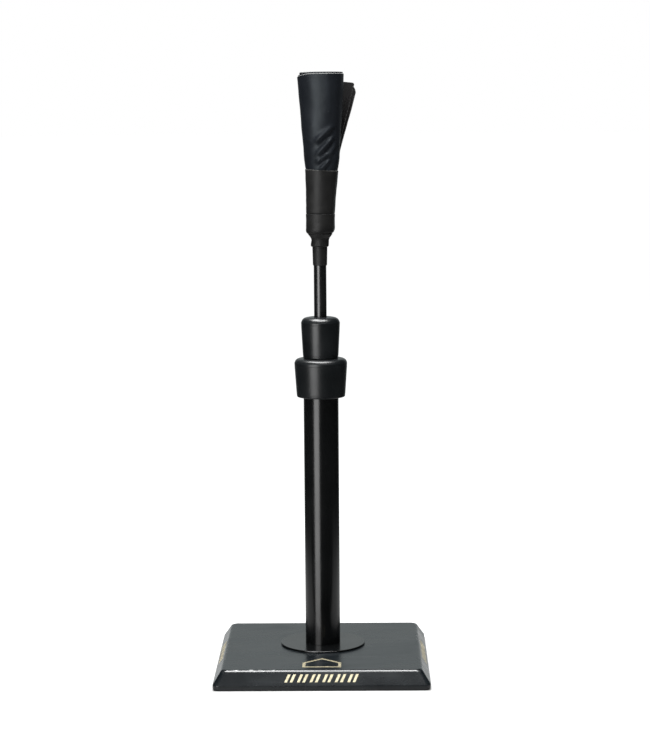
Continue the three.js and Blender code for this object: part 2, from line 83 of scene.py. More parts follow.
class Look:
    """A Principled material, with short calls that add procedural detail to it."""

    def __init__(self, name, colour, roughness, metallic=0.0, specular=0.5):
        self.material = bpy.data.materials.new(name)
        self.material.use_nodes = True
        self.nodes = self.material.node_tree.nodes
        self.links = self.material.node_tree.links
        self.surface = self.nodes["Principled BSDF"]
        self.surface.inputs["Base Color"].default_value = (*colour, 1)
        self.surface.inputs["Roughness"].default_value = roughness
        self.surface.inputs["Metallic"].default_value = metallic
        self.surface.inputs["Specular IOR Level"].default_value = specular
        self.coords = self.nodes.new("ShaderNodeTexCoord").outputs["Object"]

    def _put(self, socket, value):
        """Links another node's output to a socket, or sets the socket to a colour or a number."""
        if isinstance(value, bpy.types.NodeSocket):
            self.links.new(value, socket)
        elif isinstance(value, tuple) and len(value) == 3 and socket.type == "RGBA":
            socket.default_value = (*value, 1)
        else:
            socket.default_value = value

    def stretched(self, stretch):
        mapping = self.nodes.new("ShaderNodeMapping")
        mapping.inputs["Scale"].default_value = stretch
        self.links.new(self.coords, mapping.inputs["Vector"])
        return mapping.outputs[0]

    def noise(self, per_metre, detail=3.0, stretch=(1, 1, 1), distortion=0.0):
        made = self.nodes.new("ShaderNodeTexNoise")
        made.inputs["Scale"].default_value = per_metre
        made.inputs["Detail"].default_value = detail
        made.inputs["Distortion"].default_value = distortion
        self.links.new(self.stretched(stretch), made.inputs["Vector"])
        return made.outputs["Fac"]

    def cells(self, per_metre, stretch=(1, 1, 1)):
        """Distance to the nearest of many scattered points."""
        made = self.nodes.new("ShaderNodeTexVoronoi")
        made.inputs["Scale"].default_value = per_metre
        self.links.new(self.stretched(stretch), made.inputs["Vector"])
        return made.outputs["Distance"]

    def span(self, value, low, high, to_low=0.0, to_high=1.0):
        """Runs from to_low to to_high as the value runs from low to high, and stays at the ends."""
        made = self.nodes.new("ShaderNodeMapRange")
        sockets = zip(("Value", "From Min", "From Max", "To Min", "To Max"),
                      (value, low, high, to_low, to_high))
        for key, number in sockets:
            self._put(made.inputs[key], number)
        return made.outputs["Result"]

    def maths(self, operation, a, b=0.0):
        made = self.nodes.new("ShaderNodeMath")
        made.operation = operation
        self._put(made.inputs[0], a)
        self._put(made.inputs[1], b)
        return made.outputs[0]

    def place(self, axis):
        """The object-space coordinate in metres: axis is X, Y or Z."""
        made = self.nodes.new("ShaderNodeSeparateXYZ")
        self.links.new(self.coords, made.inputs[0])
        return made.outputs[axis]

    def distance(self):
        """How far a point is from the object's origin, in metres."""
        made = self.nodes.new("ShaderNodeVectorMath")
        made.operation = "LENGTH"
        self.links.new(self.coords, made.inputs[0])
        return made.outputs["Value"]

    def attribute(self, name):
        made = self.nodes.new("ShaderNodeAttribute")
        made.attribute_name = name
        return made.outputs["Fac"]

    def mix(self, share, a, b):
        made = self.nodes.new("ShaderNodeMix")
        made.data_type = "RGBA"
        self._put(made.inputs["Factor"], share)
        self._put(made.inputs["A"], a)
        self._put(made.inputs["B"], b)
        return made.outputs["Result"]

    def colour(self, value):
        self._put(self.surface.inputs["Base Color"], value)
        return self

    def rough(self, value):
        self._put(self.surface.inputs["Roughness"], value)
        return self

    def bump(self, *layers):
        """Each layer is (height socket, depth in millimetres)."""
        normal = None
        for height, depth in layers:
            made = self.nodes.new("ShaderNodeBump")
            made.inputs["Strength"].default_value = 1.0
            made.inputs["Distance"].default_value = depth * MM
            self.links.new(height, made.inputs["Height"])
            if normal is not None:
                self.links.new(normal, made.inputs["Normal"])
            normal = made.outputs[0]
        self.links.new(normal, self.surface.inputs["Normal"])
        return self


# ---------------------------------------------------------------- camera and studio

CAMERA_PLACE = (0.0415, -2.6866, 0.7052)
CAMERA_YAW = -0.770
CAMERA_PITCH = 7.053
CAMERA_ROLL = -0.449
CAMERA_LENS = 102.9


def make_camera():
    """Yaw turns right, pitch looks down and roll leans the picture."""
    yaw, pitch, roll = (math.radians(a) for a in (CAMERA_YAW, CAMERA_PITCH, CAMERA_ROLL))
    ahead = Vector(
        (math.sin(yaw) * math.cos(pitch), math.cos(yaw) * math.cos(pitch), -math.sin(pitch))
    )
    level = Vector((math.cos(yaw), -math.sin(yaw), 0))
    upright = level.cross(ahead)
    right = level * math.cos(roll) + upright * math.sin(roll)
    up = upright * math.cos(roll) - level * math.sin(roll)
    data = bpy.data.cameras.new("camera")
    data.lens = CAMERA_LENS
    data.sensor_width = 36
    data.clip_end = 200
    camera = bpy.data.objects.new("camera", data)
    scene.collection.objects.link(camera)
    matrix = Matrix((right, up, -ahead)).transposed().to_4x4()
    matrix.translation = CAMERA_PLACE
    camera.matrix_world = matrix
    scene.camera = camera


def area_light(name, place, aim, size, radiance):
    """A soft box: place and aim are points, size is (width, height) in metres."""
    data = bpy.data.lights.new(name, "AREA")
    data.shape = "RECTANGLE"
    data.size, data.size_y = size
    data.energy = radiance * math.pi * size[0] * size[1]
    light = bpy.data.objects.new(name, data)
    scene.collection.objects.link(light)
    light.location = place
    light.rotation_euler = (Vector(aim) - Vector(place)).to_track_quat("-Z", "Y").to_euler()


def make_world():
    """The camera sees plain white. Everything else sees a pale glow straight behind the object."""
    world = bpy.data.worlds.new("studio")
    scene.world = world
    world.use_nodes = True
    nodes, links = world.node_tree.nodes, world.node_tree.links
    nodes.clear()
    direction = nodes.new("ShaderNodeTexCoord")
    split = nodes.new("ShaderNodeSeparateXYZ")
    links.new(direction.outputs["Generated"], split.inputs[0])
    fade = nodes.new("ShaderNodeMapRange")
    fade.interpolation_type = "SMOOTHSTEP"
    for key, value in {"From Min": 0.76, "From Max": 1.0, "To Min": 0.01, "To Max": 0.54}.items():
        fade.inputs[key].default_value = value
    links.new(split.outputs["Y"], fade.inputs["Value"])
    sweep = nodes.new("ShaderNodeBackground")
    links.new(fade.outputs["Result"], sweep.inputs["Strength"])
    sweep.inputs["Color"].default_value = (0.92, 1.0, 1.0, 1)
    backdrop = nodes.new("ShaderNodeBackground")
    backdrop.inputs["Color"].default_value = (1, 1, 1, 1)
    backdrop.inputs["Strength"].default_value = 1.0
    seen = nodes.new("ShaderNodeLightPath")
    mix = nodes.new("ShaderNodeMixShader")
    links.new(seen.outputs["Is Camera Ray"], mix.inputs[0])
    links.new(sweep.outputs[0], mix.inputs[1])
    links.new(backdrop.outputs[0], mix.inputs[2])
    out = nodes.new("ShaderNodeOutputWorld")
    links.new(mix.outputs[0], out.inputs["Surface"])


FLOOR_REACH = 60
# Along Y: the floor counts as in front below the first value, and as beside the base above the second.
FLOOR_FRONT = (-0.17, -0.10)


def floor_look():
    """An even pale floor, with a contact shadow under the base. Reflections see little of it."""
    look = Look("floor", (0.22, 0.22, 0.22), 0.9, specular=0.0)
    distance = look.distance()
    outside = look.maths(
        "MAXIMUM",
        look.maths("ABSOLUTE", look.place("X")),
        look.maths("ABSOLUTE", look.place("Y")),
    )
    # brighter far away, so that the floor runs into the backdrop with no line
    glow = look.span(distance, 0.3, 3.0, 0.9, 1.0)
    contact = look.span(outside, cad_high.x - 0.002, cad_high.x + 0.0035, 0.02, 1.0)
    look.surface.inputs["Emission Color"].default_value = (1, 1, 1, 1)
    look.links.new(
        look.maths("MULTIPLY", glow, contact), look.surface.inputs["Emission Strength"]
    )
    # how much is hidden from reflections: all of it in front, apart from a strip along the base,
    # and a share that grows with distance beside the base and behind it
    in_front = look.span(look.place("Y"), *FLOOR_FRONT, 1.0, 0.0)
    hidden = look.maths("MAXIMUM", in_front, look.span(distance, 0.45, 0.9, 0.6, 1.0))
    hidden = look.maths("MINIMUM", hidden, look.span(outside, 0.15, 0.17, 0.66, 1.0))
    ray = look.nodes.new("ShaderNodeLightPath")
    hidden = look.maths("MULTIPLY", ray.outputs["Is Glossy Ray"], hidden)
    clear = look.nodes.new("ShaderNodeBsdfTransparent")
    mix = look.nodes.new("ShaderNodeMixShader")
    look.links.new(hidden, mix.inputs[0])
    look.links.new(look.surface.outputs[0], mix.inputs[1])
    look.links.new(clear.outputs[0], mix.inputs[2])
    look.links.new(mix.outputs[0], look.nodes["Material Output"].inputs["Surface"])
    return look


def make_floor():
    mesh = bpy.data.meshes.new("floor")
    corners = [
        (x * FLOOR_REACH, y * FLOOR_REACH, 0) for x, y in ((-1, -1), (1, -1), (1, 1), (-1, 1))
    ]
    mesh.from_pydata(corners, [], [(0, 1, 2, 3)])
    mesh.materials.append(floor_look().material)
    floor = bpy.data.objects.new("floor", mesh)
    scene.collection.objects.link(floor)
    floor.visible_shadow = False


make_camera()
make_world()
make_floor()
area_light("key_card", place=(-1.13, -1.89, 0.58), aim=(0, 0, 0.58), size=(1.3, 2.1), radiance=5.0)
area_light("overhead", place=(-0.08, -0.08, 2.2), aim=(0, 0, 0.2), size=(1.7, 1.1), radiance=25.0)
area_light("front_fill", place=(0.4, -2.2, 2.6), aim=(0, 0, 0.3), size=(1.8, 1.2), radiance=0.3)
scene.view_settings.view_transform = "Standard"

# ---------------------------------------------------------------- materials


def black_paint(name, gloss, specular):
    """Gloss black coat on tube: a little orange peel, a few dust specks."""
    look = Look(name, (0.0024, 0.0026, 0.0028), gloss, specular=specular)
    cloud = look.noise(18, 2)
    peel = look.noise(420, 2)
    dust = look.span(look.cells(160), 0.05, 0.11, 1.0, 0.0)
    dust = look.maths("MULTIPLY", dust, look.span(look.noise(60), 0.55, 0.7))
    tone = look.mix(look.span(cloud, 0.35, 0.65), (0.0018, 0.002, 0.0021), (0.0026, 0.0029, 0.0031))
    look.colour(look.mix(dust, tone, (0.03, 0.03, 0.031)))
    look.rough(look.span(cloud, 0.3, 0.7, gloss - 0.03, gloss + 0.04))
    return look.bump((peel, 0.006), (look.noise(35, 1), 0.03))


# Where the base is scuffed: its front edge along Y, and the right end of the worn part along X.
SCUFF_EDGE = (-0.117, -0.114)
SCUFF_END = (-0.064, -0.056)


def base_plastic():
    """Moulded base: a mottled, slightly wavy gloss, scuffed pale along its rounded edges."""
    look = Look("base_plastic", (0.015, 0.017, 0.019), 0.26)
    mottle = look.noise(20, 3, stretch=(0.7, 1.4, 1), distortion=0.4)
    fine = look.noise(240, 3)
    scratch = look.span(look.noise(70, 4, stretch=(0.2, 7, 7)), 0.6, 0.74)
    tone = look.mix(look.span(mottle, 0.36, 0.66), (0.0022, 0.0034, 0.0044), (0.0062, 0.0083, 0.0098))
    tone = look.mix(look.maths("MULTIPLY", scratch, 0.3), tone, (0.03, 0.033, 0.036))
    # many scuffs along the left part of the front edge, a few along the other edges
    front = look.span(look.place("Y"), *SCUFF_EDGE, 1.0, 0.0)
    left = look.span(look.place("X"), *SCUFF_END, 1.0, 0.04)
    share = look.maths("MULTIPLY", front, left)
    share = look.maths("MAXIMUM", share, look.span(front, 0.0, 1.0, 0.08, 0.0))
    worn = look.span(look.noise(260, 4, stretch=(0.5, 0.5, 2)), 0.53, 0.62)
    worn = look.maths("MULTIPLY", worn, look.maths("MULTIPLY", look.attribute("edge"), share))
    look.colour(look.mix(worn, tone, (0.42, 0.43, 0.43)))
    gloss = look.span(mottle, 0.3, 0.75, 0.22, 0.33)
    look.rough(look.maths("ADD", gloss, look.maths("MULTIPLY", worn, 0.3)))
    return look.bump((look.noise(22, 1), 0.14), (fine, 0.01))


def cover_plastic():
    look = Look("cover_plastic", (0.03, 0.03, 0.031), 0.55)
    grain = look.noise(900, 2)
    cloud = look.noise(14, 3)
    look.colour(look.mix(look.span(cloud, 0.35, 0.65), (0.024, 0.024, 0.025), (0.04, 0.04, 0.041)))
    look.rough(look.span(cloud, 0.3, 0.7, 0.5, 0.66))
    return look.bump((grain, 0.05))


def collar_rubber():
    """Semi-gloss moulded rubber with fine pits and a trace of dust."""
    look = Look("collar_rubber", (0.011, 0.012, 0.014), 0.36)
    cloud = look.noise(30, 3)
    pits = look.noise(650, 2)
    specks = look.span(look.cells(330), 0.04, 0.10, 1.0, 0.0)
    specks = look.maths("MULTIPLY", specks, look.span(look.noise(90), 0.5, 0.7, 0.0, 0.6))
    tone = look.mix(look.span(cloud, 0.35, 0.65), (0.0026, 0.0034, 0.0040), (0.0042, 0.0053, 0.0061))
    look.colour(look.mix(specks, tone, (0.03, 0.032, 0.034)))
    look.rough(look.span(cloud, 0.3, 0.7, 0.3, 0.38))
    return look.bump((pits, 0.02), (look.noise(55, 1), 0.05))


def wrap_rubber():
    """Self-clinging elastic tape: matte, with fine threads round it and soft creases."""
    look = Look("wrap_rubber", (0.0055, 0.0055, 0.0055), 0.5, specular=0.31)
    cloud = look.noise(42, 3, stretch=(1, 1, 1.6))
    threads = look.noise(260, 2, stretch=(0.3, 0.3, 6))
    grain = look.noise(1400, 2)
    tone = look.mix(look.span(cloud, 0.3, 0.7), (0.0042, 0.0042, 0.0042), (0.0066, 0.0066, 0.0064))
    look.colour(look.mix(look.span(threads, 0.35, 0.75, 0.0, 0.3), tone, (0.012, 0.012, 0.0118)))
    look.rough(look.span(cloud, 0.3, 0.7, 0.46, 0.56))
    return look.bump((threads, 0.08), (grain, 0.04))


def sheet_rubber(name, dark, light, roughness, specular, lint, lint_amount):
    """Sheet rubber: calender grain that runs with the roll, handling marks and lint."""
    look = Look(name, dark, roughness, specular=specular)
    look.surface.inputs["Specular Tint"].default_value = (0.86, 0.95, 1.0, 1)
    cloud = look.noise(24, 4, stretch=(1, 1, 0.6), distortion=0.4)
    grain = look.noise(700, 3, stretch=(1, 1, 0.35))
    streak = look.noise(55, 4, stretch=(1.5, 1.5, 0.18))
    spots = look.span(look.cells(210, stretch=(1, 1, 0.8)), 0.05, 0.12, 1.0, 0.0)
    spots = look.maths("MULTIPLY", spots, look.span(look.noise(45), 0.48, 0.66, 0.0, lint_amount))
    tone = look.mix(look.span(cloud, 0.3, 0.7), dark, light)
    tone = look.mix(look.span(streak, 0.55, 0.8, 0.0, 0.3), tone, tuple(2.2 * c for c in light))
    look.colour(look.mix(spots, tone, lint))
    look.rough(look.span(cloud, 0.3, 0.7, roughness - 0.05, roughness + 0.08))
    return look.bump((grain, 0.03), (streak, 0.06))


def cut_edge_with_highlight(name, dark, light):
    """Where rubber was cut with a knife: dull and dusty, and painted pale as a painted highlight along
    the edge.
    """
    look = Look(name, dark, 0.85, specular=0.25)
    # patches between the dark and the pale colour: partly dust on the cut, partly the painted
    # highlight
    rub_and_highlight = look.noise(330, 4, distortion=0.5)
    look.colour(look.mix(look.span(rub_and_highlight, 0.35, 0.65), dark, light))
    look.rough(look.span(rub_and_highlight, 0.3, 0.7, 0.78, 0.92))
    return look.bump((rub_and_highlight, 0.15))


def soft_rubber(name, colour):
    look = Look(name, colour, 0.8, specular=0.3)
    cloud = look.noise(90, 3)
    look.colour(look.mix(look.span(cloud, 0.3, 0.7), colour, tuple(1.6 * c for c in colour)))
    look.rough(look.span(cloud, 0.3, 0.7, 0.72, 0.88))
    return look.bump((look.noise(900, 2), 0.05))


def zinc_steel():
    look = Look("zinc_steel", (0.55, 0.56, 0.58), 0.32, metallic=1.0)
    spangle = look.noise(140, 3, distortion=0.8)
    lines = look.noise(500, 2, stretch=(0.2, 0.2, 5))
    look.colour(look.mix(look.span(spangle, 0.35, 0.65), (0.47, 0.48, 0.50), (0.62, 0.63, 0.64)))
    look.rough(look.span(spangle, 0.3, 0.7, 0.24, 0.42))
    return look.bump((lines, 0.02))


def nylon():
    look = Look("nylon", (0.72, 0.70, 0.63), 0.45)
    cloud = look.noise(60, 2)
    look.colour(look.mix(look.span(cloud, 0.3, 0.7), (0.66, 0.64, 0.57), (0.76, 0.74, 0.68)))
    look.rough(look.span(cloud, 0.3, 0.7, 0.4, 0.55))
    return look.bump((look.noise(700, 2), 0.02))


def ballast_steel():
    look = Look("ballast_steel", (0.16, 0.15, 0.14), 0.6, metallic=0.7)
    scale = look.noise(50, 5, distortion=0.5)
    rust = look.span(look.noise(22, 5), 0.56, 0.68)
    tone = look.mix(look.span(scale, 0.35, 0.65), (0.10, 0.10, 0.10), (0.22, 0.21, 0.20))
    look.colour(look.mix(rust, tone, (0.20, 0.09, 0.04)))
    look.rough(look.span(scale, 0.3, 0.7, 0.45, 0.8))
    return look.bump((scale, 0.15))


def print_ink(name, pale, worn):
    """Screen-printed ink, thin in places."""
    look = Look(name, pale, 0.5)
    thin = look.span(look.noise(260, 4), 0.44, 0.6)
    look.colour(look.mix(thin, pale, worn))
    look.rough(look.span(thin, 0, 1, 0.45, 0.6))
    return look.bump((look.noise(500, 2), 0.02))


LOOKS = {
    "base_plastic": base_plastic(),
    "ballast_steel": ballast_steel(),
    "cover_plastic": cover_plastic(),
    "foot_rubber": soft_rubber("foot_rubber", (0.020, 0.020, 0.020)),
    "zinc_steel": zinc_steel(),
    "black_paint": black_paint("black_paint", gloss=0.2, specular=0.5),
    "nylon": nylon(),
    "grip_rubber": soft_rubber("grip_rubber", (0.028, 0.028, 0.028)),
    "collar_rubber": collar_rubber(),
    "wrap_rubber": wrap_rubber(),
    "sheet_rubber": sheet_rubber(
        "sheet_rubber",
        dark=(0.0046, 0.0054, 0.0073),
        light=(0.0070, 0.0085, 0.0112),
        roughness=0.43,
        specular=0.28,
        lint=(0.09, 0.09, 0.10),
        lint_amount=0.5,
    ),
}
ROD_PAINT = black_paint("rod_paint", gloss=0.27, specular=0.85)
SHEET_INSIDE = sheet_rubber(
    "sheet_inside",
    dark=(0.0012, 0.0008, 0.0008),
    light=(0.0042, 0.0029, 0.0028),
    roughness=0.6,
    specular=0.15,
    lint=(0.06, 0.05, 0.047),
    lint_amount=0.9,
)
# The cut, end and seam edges are painted paler than their rubber: a painted highlight along each edge,
# on top of dust on the cut.
SHEET_CUT = cut_edge_with_highlight("sheet_cut_edge", (0.05, 0.052, 0.052), (0.10, 0.103, 0.10))
SHEET_END = cut_edge_with_highlight("sheet_end_edge", (0.008, 0.008, 0.008), (0.04, 0.04, 0.04))
WRAP_CUT = cut_edge_with_highlight("wrap_cut_edge", (0.05, 0.05, 0.046), (0.12, 0.117, 0.11))
WRAP_SEAM = cut_edge_with_highlight("wrap_seam_edge", (0.006, 0.006, 0.0059), (0.02, 0.02, 0.0195))
CREAM_INK = print_ink("cream_ink", (0.50, 0.45, 0.30), (0.38, 0.34, 0.22))
SIDE_INK = print_ink("side_ink", (0.44, 0.39, 0.26), (0.26, 0.23, 0.15))
GOLD_INK = print_ink("gold_ink", (0.26, 0.23, 0.15), (0.15, 0.135, 0.09))

# ---------------------------------------------------------------- mesh helpers

SLOT_OF = {row["node"]: row["material_slot"] for row in frame["record"]["subparts"]}
BODY_OF = {
    node: body
    for body, members in frame["record"]["behaviour"]["bodies"].items()
    for node in members
}


class Extent:
    """The axis, radius (or half width) and ends of a CAD node, in millimetres."""

    def __init__(self, node):
        low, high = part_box(node)
        self.x, self.y = (low.x + high.x) / 2 / MM, (low.y + high.y) / 2 / MM
        self.r = (high.x - low.x) / 2 / MM
        self.bottom, self.top = low.z / MM, high.z / MM


STEM = Extent("outer_tube")
NEAR_AXIS = 0.001  # radius of a profile's end on its axis, small enough for its points to merge


def piece(
    name, points, faces, looks, replaces=(), body=None, slot=None, sharp=32, face_look=None, rides=True
):
    """A mesh piece from points in millimetres. It rides with the first node it replaces.

    face_look gives each face's place in looks, and edges bent by more than sharp degrees are sharp.
    """
    mesh = bpy.data.meshes.new(name)
    mesh.from_pydata((np.asarray(points, float) * MM).tolist(), [], faces)
    looks = looks if isinstance(looks, (list, tuple)) else [looks]
    for look in looks:
        mesh.materials.append(look.material)
    if face_look is not None:
        mesh.polygons.foreach_set("material_index", face_look)
    work = bmesh.new()
    work.from_mesh(mesh)
    bmesh.ops.remove_doubles(work, verts=work.verts, dist=0.002 * MM)
    bmesh.ops.recalc_face_normals(work, faces=work.faces)
    work.to_mesh(mesh)
    work.free()
    mesh.shade_smooth()
    mesh.set_sharp_from_angle(angle=math.radians(sharp))
    made = bpy.data.objects.new(name, mesh)
    scene.collection.objects.link(made)
    if replaces:
        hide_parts(*replaces)
        body = body or BODY_OF[replaces[0]]
        slot = slot or SLOT_OF[replaces[0]]
    if rides:
        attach(made, body)
    return made


def weighted(made):
    """Keeps the shading of large faces flat up to their rounded edges."""
    modifier = made.modifiers.new("weighted", "WEIGHTED_NORMAL")
    modifier.keep_sharp = True
    modifier.weight = 80


def rounded(profile, steps=6):
    """A profile of (r, z, fillet) points with each corner rounded by its fillet, as a loop."""
    out = []
    count = len(profile)
    for i, (r, z, fillet) in enumerate(profile):
        here = Vector((r, z))
        before = Vector(profile[i - 1][:2]) - here
        after = Vector(profile[(i + 1) % count][:2]) - here
        if fillet <= 0 or before.length < 1e-6 or after.length < 1e-6:
            out.append((r, z))
            continue
        corner = before.angle(after)
        reach = min(fillet / math.tan(corner / 2), before.length * 0.49, after.length * 0.49)
        start = here + before.normalized() * reach
        end = here + after.normalized() * reach
        for k in range(steps + 1):
            t = k / steps
            out.append(tuple(start * (1 - t) ** 2 + here * (2 * t * (1 - t)) + end * t**2))
    return out


def with_support(loop, margin):
    """Adds a point near each end of every long stretch, so that shading turns only at corners."""
    out = []
    for (r0, z0), (r1, z1) in zip(loop, loop[1:]):
        out.append((r0, z0))
        length = math.hypot(r1 - r0, z1 - z0)
        if length > 3 * margin:
            for share in (margin / length, 1 - margin / length):
                out.append((r0 + (r1 - r0) * share, z0 + (z1 - z0) * share))
    return out + [loop[-1]]


def grid_faces(rows, columns, close_rows=False):
    """Quads over a grid of points numbered row by row. Each row closes on itself."""
    faces = []
    for i in range(rows if close_rows else rows - 1):
        for j in range(columns):
            a, b = i * columns + j, i * columns + (j + 1) % columns
            c, d = (i + 1) % rows * columns + (j + 1) % columns, (i + 1) % rows * columns + j
            faces.append((a, b, c, d))
    return faces


def turned(name, profile, look, replaces, sides=96, steps=6, axis=STEM):
    """A piece turned round a vertical axis. The profile of (r, z, fillet) closes on itself."""
    loop = rounded(profile, steps)
    angles = np.linspace(0, 2 * np.pi, sides, endpoint=False)
    points = [
        (axis.x + r * math.cos(a), axis.y + r * math.sin(a), z) for r, z in loop for a in angles
    ]
    faces = grid_faces(len(loop), sides, close_rows=True)
    weighted(piece(name, points, faces, look, replaces))


def square_ring(half, corner, z, steps=8):
    """A square with round corners at height z."""
    points = []
    for quarter in range(4):
        turn = quarter * math.pi / 2
        cx = (half - corner) * math.sqrt(2) * math.cos(turn + math.pi / 4)
        cy = (half - corner) * math.sqrt(2) * math.sin(turn + math.pi / 4)
        for k in range(steps + 1):
            a = turn + math.pi / 2 * k / steps
            points.append((cx + corner * math.cos(a), cy + corner * math.sin(a), z))
    return points


def along(table, z):
    """Value at z in a table of (z, value) rows; z may be an array."""
    heights, values = zip(*table)
    return np.interp(z, heights, values)


def smooth(t):
    t = np.clip(t, 0, 1)
    return t * t * (3 - 2 * t)


# ---------------------------------------------------------------- base

BASE = Extent("base_shell")
BASE_BAND = 6.5  # height of the upright band below the bevels
BASE_EDGE = 122.9  # half the width where the bevels meet the top face
BASE_FLAT = 114  # half the width of the flat middle of the top face
BASE_CORNER = 8
LIP_CORNER = 5
SKIRT_DROP = 0.6  # the rim reaches this far below its CAD node, and stays clear of the floor


def base_corner(half, z, inside):
    """Corner radius of the ring at a half width and height, smaller on the bevels and the top."""
    if inside:
        return LIP_CORNER
    low = BASE.bottom - SKIRT_DROP
    corner = along([(low, BASE_CORNER), (BASE.top, BASE_CORNER - 0.5)], z)
    return max(1.0, corner - (BASE.r - half) * 0.06)


def scuff_zone(mesh):
    """Marks the rounded edge of the top face, where the base is scuffed pale."""
    edge = mesh.attributes.new("edge", "FLOAT", "POINT")
    heights = np.array([v.co.z for v in mesh.vertices]) / MM
    reach = np.array([max(abs(v.co.x), abs(v.co.y)) for v in mesh.vertices]) / MM
    away = np.hypot(heights - BASE.top, reach - BASE_EDGE)
    # whole within 1.1 mm of the edge, none beyond 2.7 mm
    edge.data.foreach_set("value", np.clip(1.7 - away / 1.6, 0, 1).astype(np.float32))


def base_shell():
    cover = Extent("bottom_cover")
    lip = cover.r + 0.4
    low = BASE.bottom - SKIRT_DROP
    # half width, height and fillet, from inside the rim round to the top face
    outline = [
        (lip - 6, cover.top + 1, 0),
        (lip, cover.top + 1, 0.4),
        (lip, low, 0.8),
        (BASE.r - 0.3, low, 1.4),
        (BASE.r, BASE_BAND, 1.8),
        (BASE_EDGE, BASE.top, 5.2),
        (BASE_FLAT, BASE.top, 0),
    ]
    loop = with_support(rounded(outline), 1.2)
    rings = []
    for half, z in loop:
        inside = half < lip + 0.1 and z < cover.top + 2
        rings.append(square_ring(half, base_corner(half, z, inside), z))
    columns = len(rings[0])
    last = (len(rings) - 1) * columns
    faces = grid_faces(len(rings), columns)
    faces.append(tuple(reversed(range(columns))))
    faces.append(tuple(range(last, last + columns)))
    points = [p for ring in rings for p in ring]
    made = piece("base_shell_moulded", points, faces, LOOKS["base_plastic"], ("base_shell",))
    scuff_zone(made.data)
    weighted(made)


base_shell()

# ---------------------------------------------------------------- marks on the base

# The bevel runs from the top of the upright band to the edge of the top face.
BEVEL_FOOT = np.array([BASE.r, BASE_BAND])
BEVEL_HEAD = np.array([BASE_EDGE, BASE.top])
PLATE_MARK_FRONT = -110  # where the plate mark begins, along Y


def on_bevel(side, across, up, lift):
    """A point on a bevel: side in quarter turns from the front, across and up in millimetres."""
    slope = BEVEL_HEAD - BEVEL_FOOT
    length = np.linalg.norm(slope)
    out = np.array([slope[1], -slope[0]]) / length
    reach, z = BEVEL_FOOT + slope * (up / length) + out * lift
    turn = side * math.pi / 2
    c, s = math.cos(turn), math.sin(turn)
    return across * c + reach * s, across * s - reach * c, z


def inlay(name, outlines, place, look, sunk=0.05, proud=0.12):
    """Thin printed shapes: each outline is a list of (across, up), placed by place(a, u, lift)."""
    points, faces = [], []
    for outline in outlines:
        n, first = len(outline), len(points)
        points += [place(a, u, -sunk) for a, u in outline]
        points += [place(a, u, proud) for a, u in outline]
        faces.append(tuple(first + n + k for k in range(n)))
        for k in range(n):
            after = (k + 1) % n
            faces.append((first + k, first + after, first + n + after, first + n + k))
    piece(name, points, faces, look, body="base", slot="base_plastic")


def slanted_bars(pairs, width, inner_gap, outer_gap, low, high, lean):
    """A row of leaning bars in pairs, centred on 0. The gaps are inside a pair and between pairs."""
    bars = []
    pitch = 2 * width + inner_gap + outer_gap
    start = -(pairs * pitch - outer_gap) / 2
    for k in range(2 * pairs):
        left = start + (k // 2) * pitch + (k % 2) * (width + inner_gap)
        bars.append([
            (left - lean / 2, low),
            (left + width - lean / 2, low),
            (left + width + lean / 2, high),
            (left + lean / 2, high),
        ])
    return bars


def plate_outline(width, depth, line):
    """A home plate drawn as five strokes, its point towards the back."""

    def pentagon(inset):
        w, shoulder = width / 2 - inset, depth * 0.5 - inset * 0.35
        return [(-w, inset), (w, inset), (w, shoulder), (0, depth - 1.45 * inset), (-w, shoulder)]

    outer, inner = pentagon(0), pentagon(line)
    return [
        [outer[k], outer[(k + 1) % 5], inner[(k + 1) % 5], inner[k]] for k in range(5)
    ]


MARK_BARS = slanted_bars(
    pairs=6, width=3.3, inner_gap=3.2, outer_gap=5.6, low=4.7, high=14.9, lean=4.4
)
for side, where, ink in ((0, "front", CREAM_INK), (1, "right", SIDE_INK), (3, "left", SIDE_INK)):
    inlay(f"{where}_mark", MARK_BARS, lambda a, u, lift, side=side: on_bevel(side, a, u, lift), ink)
inlay(
    "plate_mark",
    plate_outline(width=48, depth=44, line=3.8),
    lambda a, u, lift: (a, PLATE_MARK_FRONT + u, BASE.top + lift),
    GOLD_INK,
)

# ---------------------------------------------------------------- feet


def feet():
    """Rubber feet with two round grooves in the sole."""
    for where in ("front_left", "front_right", "back_left", "back_right"):
        node = f"foot_{where}"
        f = Extent(node)
        grooves = [
            (r, z, 0.3)
            for ring in (3.4, 6.4)
            for r, z in ((ring, 0), (ring + 0.3, 0.7), (ring + 1.0, 0.7), (ring + 1.3, 0))
        ]
        profile = [
            (NEAR_AXIS, 0, 0),
            *grooves,
            (f.r, 0, 1.2),
            (f.r, f.top, 0.3),
            (NEAR_AXIS, f.top, 0),
        ]
        turned(f"rubber_{node}", profile, LOOKS["foot_rubber"], (node,), sides=64, axis=f)


feet()

# ---------------------------------------------------------------- stem

PAINT = LOOKS["black_paint"]
RUBBER = LOOKS["collar_rubber"]
WRAP = LOOKS["wrap_rubber"]


def tube(name, node, wall, look=PAINT, sides=128):
    """A plain tube with softened ends."""
    e = Extent(node)
    profile = [
        (e.r - wall, e.bottom, 0.3),
        (e.r, e.bottom, 0.3),
        (e.r, e.top, 0.3),
        (e.r - wall, e.top, 0.3),
    ]
    turned(name, profile, look, (node,), sides, steps=3)


def flange(bore):
    """The thin disc at the foot of the outer tube."""
    e = Extent("flange_disc")
    profile = [
        (bore, e.bottom, 0),
        (e.r - 0.4, e.bottom, 0.2),
        (e.r, e.bottom + 1.1, 0.7),
        (e.r - 0.5, e.top, 0.6),
        (bore, e.top, 0),
    ]
    turned("flange_disc_painted", profile, PAINT, ("flange_disc",), sides=160)


